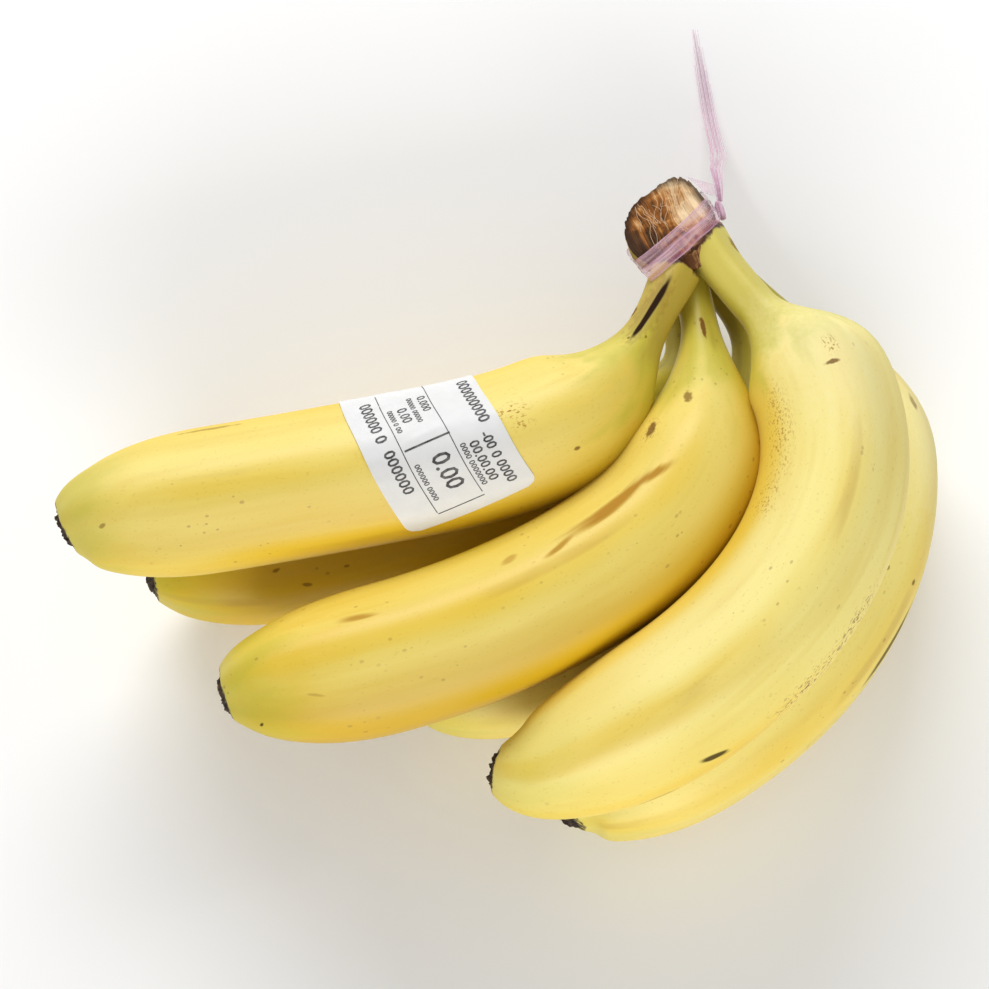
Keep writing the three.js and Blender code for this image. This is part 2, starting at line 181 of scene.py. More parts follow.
def film_material(name, colour, alpha, streak_scale, fade=None, along=None):
    """Thin translucent film: clearer and denser streaks along it, and a soft gloss. With fade, it gets
    clearer from one distance along Y to another. along names the attribute that the streaks follow, and
    the film is then creased white at its edges."""
    film = Finish(name, Roughness=0.28, IOR=1.45)
    place = film.node("TexCoord").outputs["Object"]
    guide = film.attribute(along) if along else place
    streaks = film.noise_of(guide, 1, 3, streak_scale)
    solid = film.ramp(streaks, 0.3, 0.7, *alpha, easing="LINEAR")
    if fade:
        start, end, left = fade
        y = film.node("SeparateXYZ", Vector=place).outputs["Y"]
        solid = film.combine("MULTIPLY", solid, film.ramp(y, start, end, 1, left, easing="LINEAR"))
    elif along:
        z = film.node("SeparateXYZ", Vector=guide).outputs["Z"]
        edge = film.node("FloatCurve", Value=z)
        points = edge.mapping.curves[0].points
        points[0].location = (0, FILM_EDGE)
        points[1].location = (1, FILM_EDGE)
        for across, crease in FILM_CREASES:
            points.new(across, crease)
        edge.mapping.update()
        solid = film.combine("ADD", solid, edge.outputs["Value"], clamp=True)
    tint = film.colours(streaks, [(0.35, colour), (0.68, FILM_PALE)])
    film.feed(film.shader, Base_Color=tint, Alpha=solid)
    film.bump(streaks, 0.5, 0.0004)
    return film.material


def finish_piece(piece, name, material, slot, *nodes):
    """Names a finished piece, gives it its material, and lets it stand for its CAD nodes."""
    piece.name = name
    piece.data.name = name
    piece.data.materials.clear()
    piece.data.materials.append(material)
    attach(piece, "root")
    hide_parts(*nodes)
    bpy.ops.object.select_all(action="DESELECT")


def add_object(name, data):
    """Adds an object to the scene, as the only one that is selected."""
    bpy.ops.object.select_all(action="DESELECT")
    piece = bpy.data.objects.new(name, data)
    bpy.context.collection.objects.link(piece)
    piece.select_set(True)
    bpy.context.view_layer.objects.active = piece
    return piece


def join(pieces):
    """Makes one piece of many; the first stays."""
    bpy.ops.object.select_all(action="DESELECT")
    for piece in pieces:
        piece.select_set(True)
    bpy.context.view_layer.objects.active = pieces[0]
    bpy.ops.object.join()
    return pieces[0]


def thread(points, thickness, order=4, width=0.0, tilts=None):
    """A thread along a smooth curve, as a mesh. With a width, it is flat and turns by the tilts."""
    curve = bpy.data.curves.new("thread", "CURVE")
    curve.dimensions = "3D"
    line = curve.splines.new("NURBS")
    line.points.add(len(points) - 1)
    line.order_u = order
    line.use_endpoint_u = True
    for i, point in enumerate(points):
        line.points[i].co = (*point, 1)
    if width:
        curve.twist_mode = "Z_UP"
        curve.extrude = width / 2
        for point, tilt in zip(line.points, tilts):
            point.tilt = tilt
    curve.bevel_depth = thickness / 2
    curve.bevel_resolution = 1
    curve.resolution_u = 5
    piece = add_object("thread", curve)
    bpy.ops.object.convert(target="MESH")
    return piece


def strand(offset, width, missing, seed):
    """One flat strand beside the route, a little wavy. It ends so many points before the end."""
    phase = random.Random(seed).uniform(0, 6)
    points = []
    tilts = []
    for i, (x, y, z) in enumerate(TAIL_ROUTE[: len(TAIL_ROUTE) - missing]):
        spread = KNOT_SPREAD + (FULL_SPREAD - KNOT_SPREAD) * min(1, i / SPREAD_POINTS)
        gather = spread * (1 - END_GATHER * i)
        x += np.interp(i, *TAIL_DRIFT)
        wave = STRAND_WAVE * math.sin(phase + 0.45 * i)
        lift = STRAND_LIFT * math.sin(phase * 2 + 0.5 * i)
        points.append((x + offset * gather + wave, y, max(z + lift, STRAND_THICKNESS)))
        tilts.append(STRAND_TWIST * math.sin(phase + 0.3 * i))
    return thread(points, STRAND_THICKNESS, 3, width, tilts)


strands = []
for i in range(TAIL_STRANDS):
    share = i / (TAIL_STRANDS - 1) - 0.5
    missing = max(0, round(abs(share) * 6) - 1)
    strands.append(strand(share * (TAIL_WIDTH - STRAND_WIDTH), STRAND_WIDTH, missing, i))
for i, offset in enumerate(WISPS):
    strands.append(strand(offset, STRAND_WIDTH / 6, i, WISP_SEED + i))
tail = join(strands)
tail_film = film_material(
    "pink film strands", (0.84, 0.36, 0.62), (0.30, 0.62), (900, 25, 25), fade=(0.096, 0.160, 0.30)
)
finish_piece(tail, "tie_tail_strands", tail_film, "film_strands", "tie_tail")

# ---- Bananas ----
# Six ripe fingers, neck, body and dried flower end in one. Each is modelled straight, ring by ring,
# gets its five soft ridges, and is then bent along its middle line and pressed flat on the surface.

MM = 0.001
STATIONS = np.array([0, 0.1, 0.2, 0.3, 0.45, 0.65, 1.0])
# Millimetres and degrees. tip: how long it tapers, and how bluntly. beak: how far the end is bent, over
# what length. pale, green and the flank shades: shares of colour, the flank shades being painted shade on
# the
# sides that face the other fingers. stalk: the colour of the neck. torn: how far the brown fibre goes up the
# root.
BANANAS = [
    dict(
        name="banana_1", root=(49.9, 61.5, 53.8), length=205.5, radius=20.5,
        heading=(-114, -116.5, -126, -152, -166.5, -170.5, -174), rise=(6.5, -7),
        neck=5.8, neck_end=20, shoulder_end=64, roll=20, tip=(46, 2.2), beak=(20, 12),
        pale=0.28, green=0.6, flank_shade_shares=(0.1, 0.2), stalk=(0.47, 0.34, 0.042), torn=1,
    ),
    # banana_2 lies under banana_1: its low pale share and high flank shares paint the shadow of banana_1 on
    # it.
    dict(
        name="banana_2", root=(50.3, 72.3, 31.4), length=205, radius=18.8,
        heading=(-88, -81, -132.5, -149, -154.5, -164, -174), rise=(-10, 4.5),
        neck=5.4, neck_end=25, shoulder_end=63, roll=0, tip=(46, 2.2), beak=(8, 12),
        pale=-0.50, green=0.6, flank_shade_shares=(0.5, 0.6), stalk=(0.34, 0.28, 0.012), torn=1,
    ),
    dict(
        name="banana_3", root=(51.1, 65, 46.1), length=219, radius=20.8,
        heading=(-65, -85, -92, -110.5, -141, -157.5, -176), rise=(10, -6.5),
        neck=5.2, neck_end=18, shoulder_end=72, roll=10, tip=(48, 2.1), beak=(12, 14),
        pale=0.34, green=0.65, flank_shade_shares=(0.25, 0.95), stalk=(0.41, 0.33, 0.028), torn=1,
    ),
    dict(
        name="banana_4", root=(55.4, 77.2, 30), length=197.5, radius=19,
        heading=(-47, -55, -86, -98, -120, -145, -170), rise=(-9, 3.5),
        neck=5.4, neck_end=28, shoulder_end=83, roll=0, tip=(46, 2.2), beak=(0, 12),
        pale=0.50, green=0.5, flank_shade_shares=(0.4, 0.1), stalk=(0.34, 0.27, 0.012), torn=1,
    ),
    dict(
        name="banana_5", root=(56.2, 73.3, 52.4), length=222.5, radius=20.8,
        heading=(-61, -55.5, -54.5, -78, -108, -136, -166), rise=(9, -9.5),
        neck=6.2, neck_end=30, shoulder_end=58, roll=30, tip=(54, 1.8), beak=(-30, 20),
        pale=0.72, green=0.3, flank_shade_shares=(0.25, 0.0), stalk=(0.64, 0.54, 0.10), torn=5,
    ),
    dict(
        name="banana_6", root=(56.1, 82, 29.1), length=239, radius=19.4,
        heading=(-44, -44, -40, -71.5, -101, -131.5, -168), rise=(-4.5, -0.9),
        neck=5.4, neck_end=39, shoulder_end=88, roll=0, tip=(46, 2.2), beak=(40, 14),
        pale=0.72, green=0.4, flank_shade_shares=(0.4, 0.0), stalk=(0.38, 0.32, 0.020), torn=1,
    ),
]
ROOT_FLARE = 0.2
FLARE_LENGTH = 16
RIDGES = 5
RIDGE_HEIGHT = 0.045
TIP_OVERRUN = 1.2
RING_CROWDING = 0.72  # how much closer the rings lie at both ends than in the middle
BODY_END = 2  # the flesh ends this far before the tip
NUB_RINGS = [(0, 6.2), (0.3, 5.0), (0.8, 4.3), (1.2, 4.2), (1.5, 3.7), (1.3, 2.6), (0.9, 1.1)]
NUB_TEAR = 0.0009
NUB_SEED = 5
SIDES = 40
RINGS = 60
WALK = 240


def smoothstep(value, low, high):
    t = np.clip((value - low) / (high - low), 0, 1)
    return t * t * (3 - 2 * t)


def heading_at(banana, t):
    """The compass heading along a banana: a smooth curve through its values at the stations."""
    values = np.array(banana["heading"], float)
    secants = np.diff(values) / np.diff(STATIONS)
    slopes = np.concatenate([secants[:1], (secants[:-1] + secants[1:]) / 2, secants[-1:]])
    i = np.clip(np.searchsorted(STATIONS, t, side="right") - 1, 0, len(STATIONS) - 2)
    width = STATIONS[i + 1] - STATIONS[i]
    p = (t - STATIONS[i]) / width
    start = (1 + 2 * p) * (1 - p) ** 2 * values[i] + p * (1 - p) ** 2 * width * slopes[i]
    end = p ** 2 * (3 - 2 * p) * values[i + 1] - p ** 2 * (1 - p) * width * slopes[i + 1]
    beak, reach = banana["beak"]
    return start + end + beak * smoothstep(t, 1 - reach / banana["length"], 1)


def run_at(banana, t):
    """The direction in which a banana runs at a fraction of its length, for an array of fractions."""
    azimuth = np.radians(heading_at(banana, t))
    root_rise, tip_rise = banana["rise"]
    slope = np.radians(root_rise + (tip_rise - root_rise) * smoothstep(t, 0, 1))
    return np.stack([np.cos(azimuth) * np.cos(slope), np.sin(azimuth) * np.cos(slope), np.sin(slope)], 1)


def place_on(banana, distance):
    """Where the middle line is at each distance from the root, with the directions round it."""
    length = banana["length"]
    steps = run_at(banana, (np.arange(WALK) + 0.5) / WALK) * length / WALK
    line = np.vstack([[banana["root"]], np.array(banana["root"]) + np.cumsum(steps, 0)])
    within = np.clip(distance, 0, length)
    middle = np.stack([np.interp(within, np.linspace(0, length, WALK + 1), line[:, k]) for k in range(3)], 1)
    run = run_at(banana, within / length)
    middle += run * (distance - within)[:, None]
    right = np.cross(run, (0, 0, 1))
    right /= np.linalg.norm(right, axis=1)[:, None]
    return middle, right, np.cross(right, run)


def radius_at(banana, distance):
    neck = banana["neck"]
    flare = ROOT_FLARE * (1 - smoothstep(distance, 0, FLARE_LENGTH))
    swell = smoothstep(distance, banana["neck_end"], banana["shoulder_end"])
    body = neck * (1 + flare) + (banana["radius"] - neck) * swell
    taper, power = banana["tip"]
    left = np.clip((banana["length"] + TIP_OVERRUN - distance) / taper, 0, 1)
    return body * np.sqrt(1 - (1 - left) ** power)


def start_shape(piece):
    """Selects all of a new primitive in edit mode."""
    bpy.ops.object.mode_set(mode="EDIT")
    bpy.ops.mesh.select_all(action="SELECT")
    return piece


def extrude_ring(rise, height, scale=1.0):
    """Extrudes the selected ring upwards to this height, and scales it about the upright axis."""
    bpy.ops.mesh.extrude_region_move(TRANSFORM_OT_translate={"value": (0, 0, rise)})
    bpy.ops.transform.resize(value=(scale, scale, 1), center_override=(0, 0, height))


def close_shape():
    """Turns all faces outwards and leaves edit mode."""
    bpy.ops.mesh.select_all(action="SELECT")
    bpy.ops.mesh.normals_make_consistent(inside=False)
    bpy.ops.object.mode_set(mode="OBJECT")


def straight_banana(banana):
    """A straight banana in millimetres, root down: one ring after another is extruded and scaled."""
    body_end = banana["length"] - BODY_END
    share = np.linspace(0, 1, RINGS)
    distances = body_end * (share - RING_CROWDING * np.sin(2 * math.pi * share) / (2 * math.pi))
    rings = list(zip(distances, radius_at(banana, distances)))
    rings += [(body_end + beyond, radius) for beyond, radius in NUB_RINGS]
    bpy.ops.mesh.primitive_circle_add(vertices=SIDES, radius=rings[0][1], fill_type="NGON")
    fruit = start_shape(bpy.context.object)
    for (height, radius), (next_height, next_radius) in zip(rings, rings[1:]):
        extrude_ring(next_height - height, next_height, next_radius / radius)
    close_shape()
    return fruit


def vertex_places(mesh):
    places = np.empty(len(mesh.vertices) * 3)
    mesh.vertices.foreach_get("co", places)
    return places.reshape(-1, 3)


def keep_places(mesh, name, places):
    """Keeps where each vertex was on the unbent piece, for the patterns that follow its surface."""
    attribute = mesh.attributes.new(name, "FLOAT_VECTOR", "POINT")
    attribute.data.foreach_set("vector", places.astype(np.float32).ravel())


def kept_places(mesh, name):
    places = np.empty(len(mesh.vertices) * 3)
    mesh.attributes[name].data.foreach_get("vector", places)
    return places.reshape(-1, 3).tolist()


def apply_modifier(piece, kind, **settings):
    modifier = piece.modifiers.new(kind, kind)
    for name, value in settings.items():
        setattr(modifier, name, value)
    bpy.ops.object.modifier_apply(modifier=modifier.name)


def bend_banana(piece, banana):
    """Gives the straight banana its ridges, bends it along its middle line and rests it on the surface."""
    mesh = piece.data
    straight = vertex_places(mesh)
    keep_places(mesh, "straight", straight * MM)
    distance = straight[:, 2]
    angle = np.arctan2(straight[:, 1], straight[:, 0])
    ridge = np.cos(RIDGES * (angle - math.radians(banana["roll"])))
    radius = np.hypot(straight[:, 0], straight[:, 1]) * (1 + RIDGE_HEIGHT * ridge)
    middle, right, up = place_on(banana, distance)
    places = middle + right * (radius * np.cos(angle))[:, None] + up * (radius * np.sin(angle))[:, None]
    places[:, 2] = np.maximum(places[:, 2], 0)
    mesh.vertices.foreach_set("co", (places * MM).ravel())
    mesh.update()


MARK_COLOURS = {
    "black": (0.030, 0.016, 0.010),
    "brown": (0.18, 0.075, 0.018),
    "rust": (0.46, 0.225, 0.030),
    "rash": (0.38, 0.17, 0.025),
    "scuff": (0.24, 0.14, 0.085),
    # The last colour is a pale cream painted highlight, laid on the shoulders like a mark.
    "painted_highlight": (0.94, 0.86, 0.50),
}
PEEL_COLOURS = {
    "yellow": (0.76, 0.52, 0.016),
    "pale": (0.90, 0.78, 0.26),
    "pale streak": (0.86, 0.72, 0.18),
    "deep streak": (0.68, 0.43, 0.008),
    # Painted shade: the dark ochre of the flanks that face the other fingers.
    "painted_flank_shade": (0.60, 0.36, 0.003),
    # The deeper gold of the ridges, partly painted shade.
    "ridge": (0.80, 0.51, 0.008),
    "worn ridge": (0.46, 0.25, 0.04),
    "green neck": (0.52, 0.47, 0.030),
    "green tip": (0.50, 0.45, 0.022),
    "torn edge": (0.085, 0.030, 0.012),
    "torn dark": (0.15, 0.055, 0.022),
    "torn pale": (0.58, 0.32, 0.17),
    "freckle": (0.27, 0.12, 0.02),
    "dust": (0.50, 0.30, 0.03),
    "nub dark": (0.012, 0.008, 0.005),
    "nub brown": (0.075, 0.042, 0.020),
}
# How each kind of mark ends: the grain of its edge, how far that carries it, and how soft it is.
MARK_EDGES = {
    "black": ("smeared", 1.5, 0.35),
    "brown": ("ragged", 1.2, 0.40),
    "rust": ("smeared", 2.2, 0.65),
    "rash": ("sprinkled", 2.0, 0.90),
    "scuff": ("sprinkled", 2.0, 0.80),
    "painted_highlight": ("ragged", 0.8, 0.95),
}
# Scars and bruises, and painted highlights on the shoulders of bananas 5 and 6: distance from the root and
# turn from the top, towards the right-hand side, then length along, width across, tilt, colour, and how
# solid the mark is. Millimetres and degrees.
MARKS = {
    "banana_1": [
        (19, 16, 28, 8, -4, "brown", 0.35),
        (17.5, 10, 22, 2.1, -4, "black", 1.0),
        (19, 70, 4, 2.4, 0, "brown", 0.9),
        (77, 5, 9, 6, 0, "rash", 0.95),
        (75, -5, 6, 4, 0, "rash", 0.8),
        (64, -40, 1.8, 1.3, 0, "brown", 0.8),
        (159, 57, 18, 1.4, 0, "brown", 0.5),
        (190, -25, 2.2, 1.2, 20, "brown", 0.6),
        (30, 20, 1.6, 1.0, 0, "brown", 0.8),
        (27, -12, 1.2, 0.9, 0, "brown", 0.7),
    ],
    "banana_2": [
        (168, -27, 2.4, 1.3, 10, "brown", 0.7),
        (160, -44, 3.0, 1.2, -15, "brown", 0.7),
        (148, -35, 1.8, 1.0, 0, "brown", 0.6),
    ],
    "banana_3": [
        (52, 21, 5.5, 3.0, 8, "brown", 0.75),
        (99, 24, 34, 4.4, 0, "rust", 0.95),
        (82, 16, 14, 3.4, -22, "rust", 0.9),
        (118, 18, 12, 2.2, 16, "rust", 0.8),
        (66, 46, 14, 5.5, 0, "rash", 0.8),
        (66, 45, 8, 3.0, 0, "brown", 0.85),
        (176, 25, 11, 2.6, -6, "rust", 0.8),
        (131, 32, 5, 3.0, 30, "rust", 0.6),
        (207, -57, 1.8, 1.5, 0, "black", 0.9),
        (191, -29, 5, 0.9, -20, "brown", 0.3),
        (24, -3, 8, 1.5, 4, "brown", 0.95),
    ],
    "banana_4": [
        (120, 10, 5, 2, 0, "brown", 0.5),
    ],
    "banana_5": [
        # A pale painted highlight on the shoulder comes first.
        (58, -12, 52, 34, 0, "painted_highlight", 0.5),
        (58, -9, 5, 4.2, 0, "rash", 0.9),
        (63, -4, 1.3, 4.6, 0, "brown", 0.85),
        (80, 48, 36, 9, 0, "rash", 0.7),
        (106, 50, 14, 8, 0, "rash", 0.75),
        (168, -70, 8.5, 2.2, -20, "black", 0.9),
        (184, -86, 10, 1.6, -8, "brown", 0.4),
        (121, -76, 18, 6, 0, "scuff", 0.9),
        (139, -77, 24, 6, 0, "scuff", 0.9),
        (10, -72, 6, 3.4, 0, "brown", 0.7),
    ],
    "banana_6": [
        # A pale painted highlight on the shoulder comes first.
        (84, -50, 50, 24, 0, "painted_highlight", 0.5),
        (65, -64, 4, 2.4, 0, "brown", 0.6),
        (77, -46, 5, 1.6, 10, "brown", 0.6),
        (139, -70, 24, 3.4, 0, "black", 0.8),
        (123, -54, 1.8, 1.5, 0, "brown", 0.8),
        (123, -25, 1.7, 1.3, 0, "brown", 0.7),
    ],
}


# Each pattern of the peel: how fine it is, its detail, how little it changes along the fruit, and how far
# it is moved, so that no two are alike.
PEEL_PATTERNS = {
    "blotches": (22, 3, 0.45, 0),
    "streaks": (420, 3, 0.045, 0),
    "broad streaks": (150, 2, 0.09, 3),
    "pores": (2600, 2, 0.6, 0),
    "rubbed": (60, 3, 0.35, 7),
    "torn": (330, 3, 0.5, 2),
    "crowd": (45, 2, 0.6, 11),
    "dust": (1500, 2, 0.7, 13),
    "ragged": (900, 3, 0.5, 0),
    "smeared": (330, 3, 0.10, 5),
    "specks": (1900, 2, 0.5, 9),
    "dried": (700, 3, 1, 0),
}
FRECKLE_CELLS = 520
FRECKLE_STRETCH = (1, 1, 0.7)
# Painted highlight on the top of each finger: the turns from the top over which it fades out.
TOP_HIGHLIGHT_TURNS = (math.radians(20), math.radians(80))
# Painted shade on the flanks: the turns from the top over which it comes in.
FLANK_SHADE_TURNS = (math.radians(12), math.radians(68))


def roughen_nub(fruit, banana):
    """Makes the dried flower end ragged."""
    nub_start = (banana["length"] - BODY_END + 0.1) * MM
    noise.seed_set(NUB_SEED)
    for vertex, place in zip(fruit.data.vertices, kept_places(fruit.data, "straight")):
        if place[2] > nub_start:
            shift = noise.noise_vector(Vector(place) * 620) + 0.6 * noise.noise_vector(Vector(place) * 1700)
            vertex.co += shift * NUB_TEAR
            vertex.co.z = max(vertex.co.z, 0)


def peel_material(banana):
    """Banana peel: waxy yellow with faint streaks and freckles, green at the neck and tip, its own marks,
    and a dried dark flower end. Painted highlights make the tops and some shoulders paler, and painted shade
    makes the flanks between the fingers darker ochre and the ridges partly deeper gold."""
    name = banana["name"]
    seed = int(name[-1])
    peel = Finish("peel of " + name)
    combine, ramp, mix = peel.combine, peel.ramp, peel.mix

    def pattern(key):
        scale, detail, along, shift = PEEL_PATTERNS[key]
        return peel.noise_of(skin, scale, detail, (1, 1, along), seed + shift)

    def tinted(share, colour, key):
        return mix(share, colour, PEEL_COLOURS[key])

    def centred(amount, factor):
        return combine("MULTIPLY", combine("SUBTRACT", amount, 0.5), factor)

    skin = peel.attribute("straight")
    x, y, distance = peel.node("SeparateXYZ", Vector=skin).outputs
    turn = combine("ARCTAN2", x, y)
    girth = combine("SQRT", combine("ADD", combine("MULTIPLY", x, x), combine("MULTIPLY", y, y)))
    arc = combine("MULTIPLY", turn, girth)
    to_tip = combine("SUBTRACT", banana["length"] * MM, distance)

    blotches, streaks, broad_streaks = pattern("blotches"), pattern("streaks"), pattern("broad streaks")
    pale = combine("ADD", banana["pale"], centred(blotches, 1.7))
    # Painted highlight: the top of each finger is paler.
    pale = combine("ADD", pale, ramp(combine("ABSOLUTE", turn), *TOP_HIGHLIGHT_TURNS, 0.22, 0), clamp=True)
    colour = mix(pale, PEEL_COLOURS["yellow"], PEEL_COLOURS["pale"])
    colour = tinted(ramp(streaks, 0.45, 0.75, 0, 0.22), colour, "pale streak")
    colour = tinted(ramp(broad_streaks, 0.50, 0.74, 0, 0.26), colour, "deep streak")
    # Painted shade: each flank is darker ochre by its share, most where it faces another finger.
    for sign, share in zip((1, -1), banana["flank_shade_shares"]):
        painted_flank_shade = ramp(combine("MULTIPLY", turn, sign), *FLANK_SHADE_TURNS, 0, share)
        colour = tinted(painted_flank_shade, colour, "painted_flank_shade")

    # The ridges are more golden than the flats between them, partly the peel's own tone and partly painted
    # shade along them, and browner where they are worn.
    ridge_turn = combine("SUBTRACT", math.pi / 2 - math.radians(banana["roll"]), turn)
    ridge = combine("COSINE", combine("MULTIPLY", ridge_turn, RIDGES))
    ridge_gold_and_shade = combine("MULTIPLY", ramp(ridge, -0.1, 1.0, 0, 0.45), ramp(blotches, 0.36, 0.62, 1, 0.2))
    colour = tinted(ridge_gold_and_shade, colour, "ridge")
    rubbed = ramp(pattern("rubbed"), 0.5, 0.72)
    worn = combine("MULTIPLY", combine("MULTIPLY", ramp(ridge, 0.86, 1.0), rubbed), 0.35)
    colour = tinted(worn, colour, "worn ridge")

    # The neck is olive, with a ring of green where it widens; the tip is a little green too.
    neck_edge = combine("ADD", distance, centred(broad_streaks, 0.05))
    neck_end, shoulder_end = banana["neck_end"] * MM, banana["shoulder_end"] * MM
    ring_end = (neck_end + shoulder_end) / 2 + 0.016
    colour = tinted(ramp(neck_edge, neck_end + 0.012, ring_end, 0.75, 0), colour, "green neck")
    # The stalk colour is the neck's own olive, made darker for fingers 2, 4 and 6 as painted shade where
    # they lie under the others.
    colour = mix(ramp(neck_edge, neck_end - 0.004, neck_end + 0.016, 0.9, 0), colour, banana["stalk"])
    tip_edge = combine("ADD", to_tip, centred(broad_streaks, 0.03))
    colour = tinted(ramp(tip_edge, 0.003, 0.030, banana["green"], 0), colour, "green tip")

    # The root is torn brown fibre up to a ragged edge.
    torn = pattern("torn")
    root_end = banana["torn"] * MM
    lopsided = combine("MULTIPLY", combine("SINE", turn), root_end * 0.5)
    torn_edge = combine("SUBTRACT", combine("ADD", distance, centred(torn, 0.006)), lopsided)
    fibre = mix(ramp(torn, 0.36, 0.62), PEEL_COLOURS["torn dark"], PEEL_COLOURS["torn pale"])
    colour = tinted(ramp(torn_edge, root_end, root_end + 0.0012, 1, 0), colour, "torn edge")
    colour = mix(ramp(torn_edge, root_end - 0.0014, root_end - 0.0004, 1, 0), colour, fibre)

    # Freckles: small dots, a little longer along the fruit, in some places more than in others.
    cell_map = peel.node("Mapping", Vector=skin, Scale=FRECKLE_STRETCH)
    cells = peel.node("TexVoronoi", Vector=cell_map.outputs["Vector"], Scale=FRECKLE_CELLS)
    chance = peel.node("SeparateColor", Color=cells.outputs["Color"]).outputs["Red"]
    dots = combine("LESS_THAN", cells.outputs["Distance"], ramp(chance, 0.66, 1.0, 0, 0.25))
    crowd = ramp(pattern("crowd"), 0.42, 0.66)
    colour = tinted(combine("MULTIPLY", combine("MULTIPLY", dots, crowd), 0.45), colour, "freckle")
    colour = tinted(ramp(pattern("dust"), 0.60, 0.74, 0, 0.22), colour, "dust")

    # Its own scars and bruises, with ragged edges, and the painted highlights laid on like marks.
    ragged = pattern("ragged")
    grains = {"ragged": ragged, "sprinkled": ragged, "smeared": pattern("smeared")}
    specks = ramp(pattern("specks"), 0.53, 0.62)
    flat = peel.node("CombineXYZ", X=arc, Y=distance).outputs["Vector"]
    marked = 0.0
    for from_root, turned, long, wide, tilt, key, solid in MARKS[name]:
        radius = float(radius_at(banana, np.array([from_root]))[0]) * MM
        local = peel.node(
            "Mapping", Vector=flat, Location=(math.radians(turned) * radius, from_root * MM, 0),
            Rotation=(0, 0, math.radians(tilt)), Scale=(wide * MM / 2, long * MM / 2, 1),
        )
        local.vector_type = "TEXTURE"
        grain, loose, soft = MARK_EDGES[key]
        edge = combine("ADD", peel.length_of(local.outputs["Vector"]), centred(grains[grain], loose))
        mask = combine("MULTIPLY", ramp(edge, 1.0 - soft, 1.0 + soft / 2, 1, 0), solid)
        if grain == "sprinkled":
            mask = combine("MULTIPLY", mask, specks)
        colour = mix(mask, colour, MARK_COLOURS[key])
        marked = combine("MAXIMUM", marked, mask)

    # The dried flower end, and the dark rim that it leaves on the peel.
    end_grain = pattern("dried")
    dried = ramp(combine("ADD", to_tip, centred(end_grain, 0.0022)), 0.0018, 0.0026, 1, 0)
    nub = mix(ramp(end_grain, 0.35, 0.65), PEEL_COLOURS["nub dark"], PEEL_COLOURS["nub brown"])
    colour = mix(dried, colour, nub)

    shine = combine("ADD", ramp(blotches, 0.3, 0.7, 0.44, 0.54), combine("MULTIPLY", dried, 0.35))
    shine = combine("ADD", shine, combine("MULTIPLY", marked, 0.25), clamp=True)
    wax = combine("MULTIPLY", combine("SUBTRACT", 1.0, marked), 0.5)
    peel.feed(peel.shader, Base_Color=colour, Roughness=shine, Specular_IOR_Level=wax)
    relief = combine("ADD", combine("MULTIPLY", streaks, 0.6), combine("MULTIPLY", pattern("pores"), 0.25))
    relief = combine("ADD", relief, combine("MULTIPLY", marked, -0.5))
    relief = combine("ADD", relief, combine("MULTIPLY", combine("MULTIPLY", dried, end_grain), 4.0))
    peel.bump(relief, 0.45, 0.00012)
    return peel.material


for banana in BANANAS:
    fruit = straight_banana(banana)
    bend_banana(fruit, banana)
    apply_modifier(fruit, "SUBSURF", levels=1, render_levels=1)
    roughen_nub(fruit, banana)
    bpy.ops.object.shade_smooth()
    finish_piece(fruit, banana["name"] + "_fruit", peel_material(banana), "peel", banana["name"])

# ---- Crown ----
# The stub of the stalk that all the necks grow from, a rounded block cut off at a slant. Its side is old
# peel and its cut face dry fibres, pale where they are fresh and dark where the sap has dried.

CROWN_CENTRE = Vector((0.0521, 0.0713, 0.042))
CROWN_AWAY = Vector((-0.42, 0.865, 0.281)).normalized()
CROWN_OUT = Vector((0, -0.309, 0.951))
CROWN_OUT = (CROWN_OUT - CROWN_OUT.dot(CROWN_AWAY) * CROWN_AWAY).normalized()
CROWN_ACROSS = CROWN_AWAY.cross(CROWN_OUT)
CROWN_HALF_WIDTH = 0.0132
CROWN_HALF_HEIGHT = 0.0182
CROWN_BASE = -0.0065
CROWN_CUT = 0.0105
CROWN_CUT_SLOPE = 0.66
CROWN_CUT_TILT = 0.17
CROWN_WIDEST = 0.007
CROWN_BASE_WIDTH = 0.6
CROWN_TOP_WIDTH = 0.86
CROWN_LEAN = 0.0014
CROWN_SQUARENESS = 3.4
CROWN_DISH = 0.0012
CROWN_SIDES = 72
CROWN_SIDE_RINGS = 14
CROWN_CUT_RINGS = 20
CUT_FROM = 0.97  # the cut face starts here along the block, and ends at this share of its width
RIM_FROM = 0.9
FIBRE_HEIGHT = 0.0005
LUMP_HEIGHT = 0.0009
TEAR_DEPTH = 0.0013
SIDE_LUMPS = 0.0005


def crown_point(angle, along, inward):
    """A point of the block: round it by angle, along it from the base, 0, to the cut, 1."""
    power = 2 / CROWN_SQUARENESS
    wide = math.copysign(abs(math.cos(angle)) ** power, math.cos(angle))
    high = math.copysign(abs(math.sin(angle)) ** power, math.sin(angle))
    outward = CROWN_HALF_HEIGHT * high * (1 - inward)
    sideways = CROWN_HALF_WIDTH * wide * (1 - inward)
    cut = CROWN_CUT - CROWN_CUT_SLOPE * outward + CROWN_CUT_TILT * sideways
    distance = CROWN_BASE + (cut - CROWN_BASE) * along
    farthest = CROWN_CUT + CROWN_CUT_SLOPE * CROWN_HALF_HEIGHT
    to_base = float(smoothstep(-distance, -CROWN_WIDEST, -CROWN_BASE))
    to_top = float(smoothstep(distance, CROWN_WIDEST, farthest))
    narrowing = 1 - (1 - CROWN_BASE_WIDTH) * to_base - (1 - CROWN_TOP_WIDTH) * to_top
    dish = CROWN_DISH * (1 - (1 - inward) ** 2)
    return (
        CROWN_CENTRE + (sideways * narrowing + CROWN_LEAN * to_top) * CROWN_ACROSS
        + outward * CROWN_OUT + (distance - dish) * CROWN_AWAY
    )


